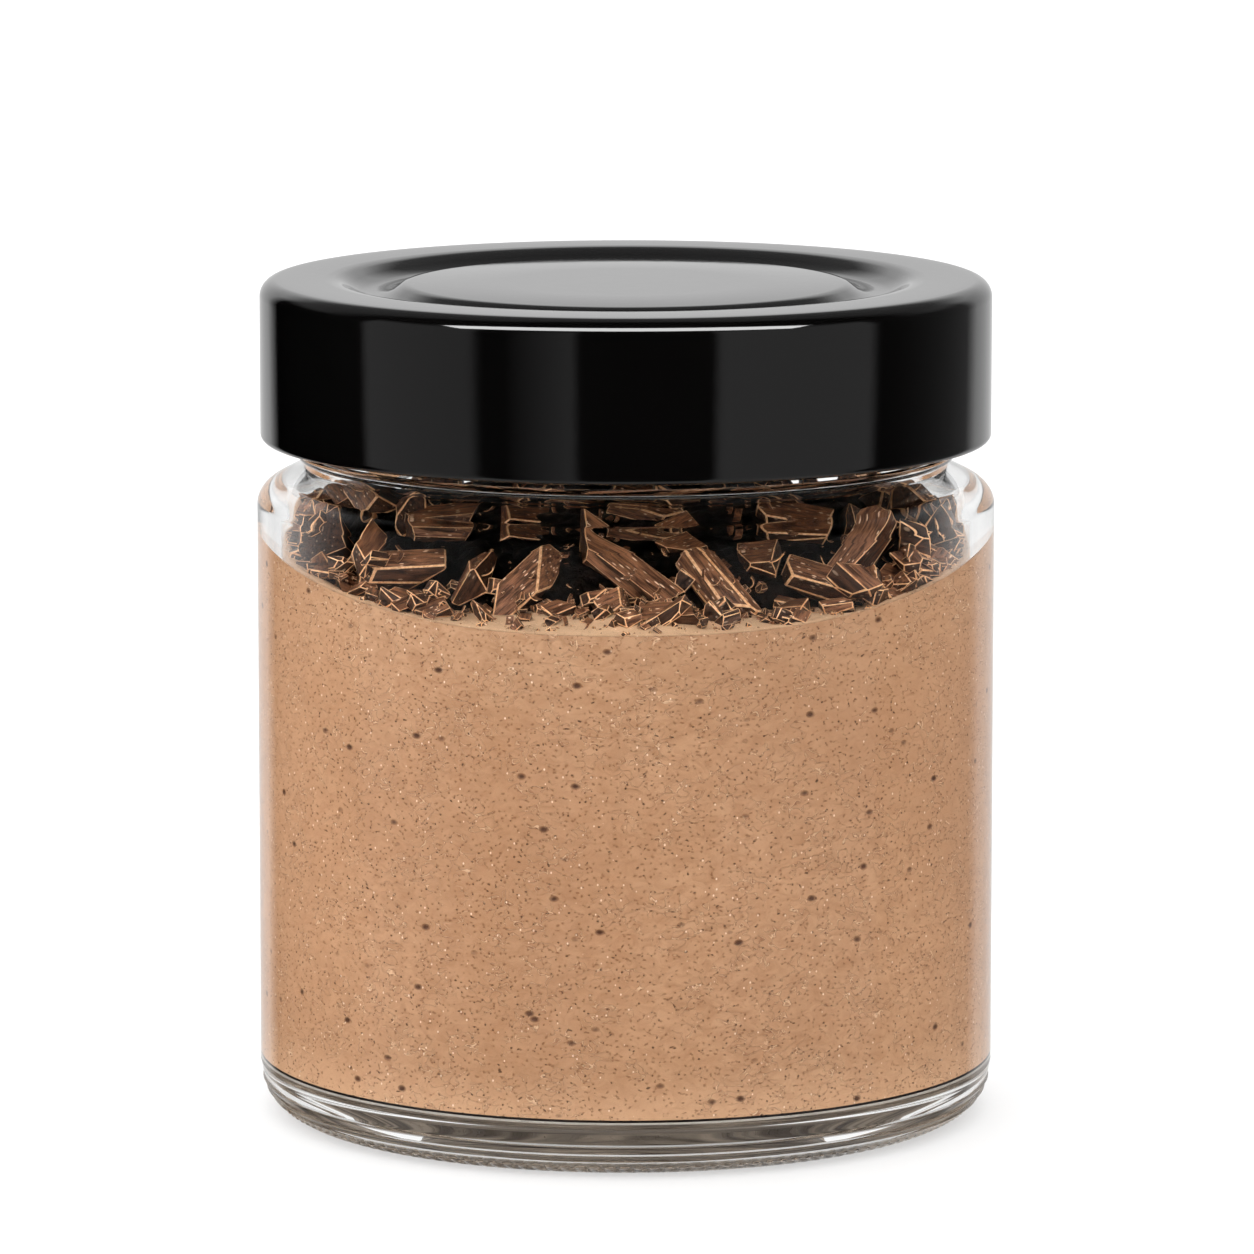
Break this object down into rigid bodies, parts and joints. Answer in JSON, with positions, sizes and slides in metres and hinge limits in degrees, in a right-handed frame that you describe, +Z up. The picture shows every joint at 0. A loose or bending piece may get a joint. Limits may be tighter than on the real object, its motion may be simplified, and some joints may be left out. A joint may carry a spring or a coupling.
{
  "type": "jar of chocolate mousse",
  "caption": "Straight-sided clear glass jar with a rounded shoulder and thick foot, filled with chocolate mousse under broken dark chocolate, shut by a deep black cap.",
  "frame": {"origin": "middle of the foot, on the plane that the jar stands on", "axes": "+Z up along the jar's axis, +X to the right and -Y towards the viewer of the picture"},
  "size_m": [0.074, 0.074, 0.0842],
  "materials": {
    "clear_glass": "smooth clear flint glass",
    "black_lacquer": "glossy black lacquer over tinplate",
    "mousse": null,
    "dark_chocolate": null
  },
  "bodies": {
    "root": {"jar": "clear_glass", "lid": "black_lacquer", "mousse": "mousse", "chocolate_shards": "dark_chocolate"}
  },
  "joints": []
}
